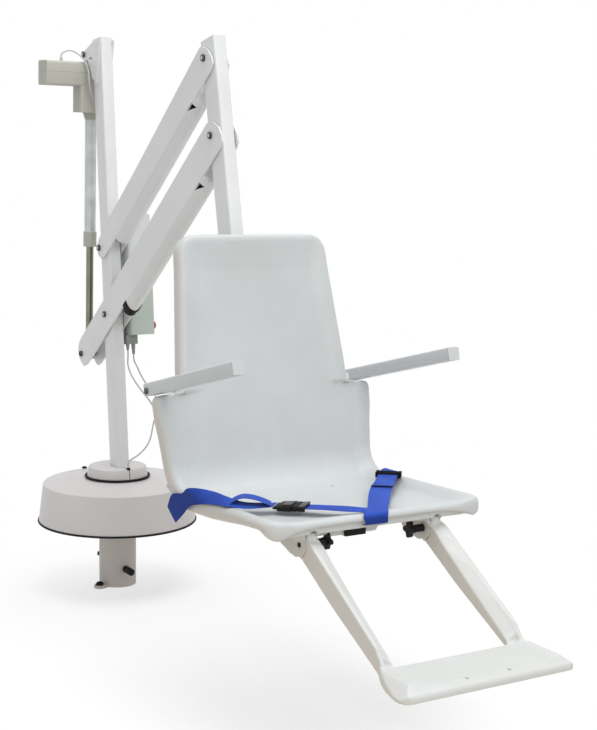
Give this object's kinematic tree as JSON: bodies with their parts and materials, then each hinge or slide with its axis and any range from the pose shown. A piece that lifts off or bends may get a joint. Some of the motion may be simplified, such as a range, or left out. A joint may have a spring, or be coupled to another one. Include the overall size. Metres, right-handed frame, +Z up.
{
  "type": "pool patient lift",
  "caption": "Swivelling poolside lift: anchor post and drum, raked mast with parallel arms, battery-driven actuator and a moulded chair with flip-up armrests, belt and footrest.",
  "frame": {"origin": "centre of the anchor post's foot face, on the floor", "axes": "+Z up; the chair faces -Y; the arms, mast and upright lie in the plane x = 0 and the control box is on the +X side of the mast"},
  "size_m": [0.6276, 2.0961, 1.6764],
  "materials": {
    "white_paint": "satin powder coat",
    "post_metal": "satin",
    "steel": "machined",
    "dark_steel": "satin",
    "black_plastic": "matt",
    "shell_plastic": "moulded, fine texture",
    "armrest_metal": "satin",
    "armrest_plug": "satin",
    "actuator_plastic": "moulded, fine texture",
    "tube_metal": "anodised",
    "rod_metal": "polished",
    "box_plastic": "moulded, fine texture",
    "red_plastic": "satin",
    "webbing": "woven",
    "cable": "satin"
  },
  "bodies": {
    "base": {"anchor_post": "post_metal", "post_bolt": "dark_steel", "foot_ear_cap": "black_plastic", "slew_gear": "steel"},
    "clamp": {"clamp_handle": "black_plastic"},
    "swivel": {"slew_bearing": "steel", "turntable": "white_paint", "slew_motor": "dark_steel", "drum_cover": "white_paint", "drum_trim": "black_plastic", "drum_plug": "black_plastic", "drum_grommet": "black_plastic", "collar_cover": "white_paint", "collar_trim": "black_plastic", "cord_grommet": "black_plastic", "mast": "white_paint", "upper_mast_bolt": "dark_steel", "lower_mast_bolt": "dark_steel", "gusset_bolt": "dark_steel", "control_box": "box_plastic", "plug_block": "actuator_plastic", "motor_lead": "cable", "sensor_lead": "cable", "actuator_lead": "cable"},
    "pinion": {"slew_pinion": "steel"},
    "battery": {"battery": "box_plastic"},
    "stop_button": {"stop_button": "red_plastic"},
    "actuator": {"actuator_cover": "actuator_plastic", "actuator_body": "actuator_plastic", "actuator_motor": "dark_steel", "actuator_tube": "tube_metal", "actuator_ring": "actuator_plastic", "actuator_screw": "steel"},
    "rod": {"actuator_rod": "rod_metal"},
    "upper_arm": {"upper_arm": "white_paint"},
    "lower_arm": {"lower_arm": "white_paint", "arm_bumper": "black_plastic", "lug_bolt_left": "dark_steel", "lug_bolt_right": "dark_steel"},
    "carrier": {"upright": "white_paint", "upper_upright_bolt": "dark_steel", "lower_upright_bolt": "dark_steel", "seat_frame": "white_paint", "seat_frame_cap": "black_plastic", "chair_shell": "shell_plastic", "strap_left": "webbing", "strap_right": "webbing", "buckle_socket": "black_plastic"},
    "buckle": {"buckle_tongue": "black_plastic", "strap_lap": "webbing"},
    "slider": {"strap_slider": "black_plastic"},
    "armrest_left": {"armrest_left": "armrest_metal", "armrest_plug_left": "armrest_plug", "armrest_bolt_left": "dark_steel"},
    "armrest_right": {"armrest_right": "armrest_metal", "armrest_plug_right": "armrest_plug", "armrest_bolt_right": "dark_steel"},
    "footrest": {"footrest": "shell_plastic"},
    "knob_left": {"footrest_knob_left": "black_plastic"},
    "knob_right": {"footrest_knob_right": "black_plastic"}
  },
  "joints": [
    {"name": "swivel_turn", "type": "hinge", "parent": "base", "child": "swivel", "pos_m": [0, 0, 0], "axis": [0, 0, 1], "continuous": true},
    {"name": "pinion_turn", "type": "hinge", "parent": "swivel", "child": "pinion", "pos_m": [0.105, 0, 0.23], "axis": [0, 0, 1], "continuous": true},
    {"name": "clamp_turn", "type": "hinge", "parent": "base", "child": "clamp", "pos_m": [0, -0.057, 0.058], "axis": [0, 1, 0], "continuous": true},
    {"name": "battery_lift", "type": "slide", "parent": "swivel", "child": "battery", "axis": [0, 0.0953, 0.9954], "range_m": [0, 0.06]},
    {"name": "stop_press", "type": "slide", "parent": "swivel", "child": "stop_button", "axis": [-1, 0, 0], "range_m": [0, 0.004], "stiffness_N_per_m": 600, "springref_m": -0.004},
    {"name": "lower_arm_lift", "type": "hinge", "parent": "swivel", "child": "lower_arm", "pos_m": [0, 0.03392, 0.84091], "axis": [1, 0, 0], "range_deg": [0, 66]},
    {"name": "upper_arm_lift", "type": "hinge", "parent": "swivel", "child": "upper_arm", "pos_m": [0, 0.07463, 1.0419], "axis": [1, 0, 0], "range_deg": [0, 66]},
    {"name": "carrier_level", "type": "hinge", "parent": "lower_arm", "child": "carrier", "pos_m": [0, -0.65184, 1.37303], "axis": [1, 0, 0], "range_deg": [-66, 0]},
    {"name": "actuator_swing", "type": "hinge", "parent": "swivel", "child": "actuator", "pos_m": [0, 0.1915, 1.6306], "axis": [1, 0, 0], "range_deg": [0, 2.42]},
    {"name": "rod_stroke", "type": "slide", "parent": "actuator", "child": "rod", "axis": [0, -0.0287, 0.9996], "range_m": [0, 0.2522]},
    {"name": "armrest_left_flip", "type": "hinge", "parent": "carrier", "child": "armrest_left", "pos_m": [-0.293, -0.866, 0.747], "axis": [-1, 0, 0], "range_deg": [0, 85]},
    {"name": "armrest_right_flip", "type": "hinge", "parent": "carrier", "child": "armrest_right", "pos_m": [0.293, -0.866, 0.747], "axis": [-1, 0, 0], "range_deg": [0, 85]},
    {"name": "footrest_fold", "type": "hinge", "parent": "carrier", "child": "footrest", "pos_m": [0, -1.388, 0.468], "axis": [1, 0, 0], "range_deg": [0, 27]},
    {"name": "knob_left_turn", "type": "hinge", "parent": "carrier", "child": "knob_left", "pos_m": [-0.107, -1.388, 0.468], "axis": [1, 0, 0], "continuous": true},
    {"name": "knob_right_turn", "type": "hinge", "parent": "carrier", "child": "knob_right", "pos_m": [0.107, -1.388, 0.468], "axis": [1, 0, 0], "continuous": true},
    {"name": "buckle_release", "type": "slide", "parent": "carrier", "child": "buckle", "axis": [0.6941, -0.7198, 0.0129], "range_m": [0, 0.032]},
    {"name": "slider_adjust", "type": "slide", "parent": "carrier", "child": "slider", "axis": [-0.6336, -0.7734, 0.0186], "range_m": [0, 0.06]}
  ],
  "couplings": [
    {"joint": "pinion_turn", "follows": "swivel_turn", "ratio": 4},
    {"joint": "upper_arm_lift", "follows": "lower_arm_lift", "ratio": 1},
    {"joint": "carrier_level", "follows": "lower_arm_lift", "ratio": -1},
    {"joint": "actuator_swing", "follows": "lower_arm_lift", "ratio": 0.0364},
    {"joint": "rod_stroke", "follows": "lower_arm_lift", "m_per_rad": 0.2187}
  ]
}
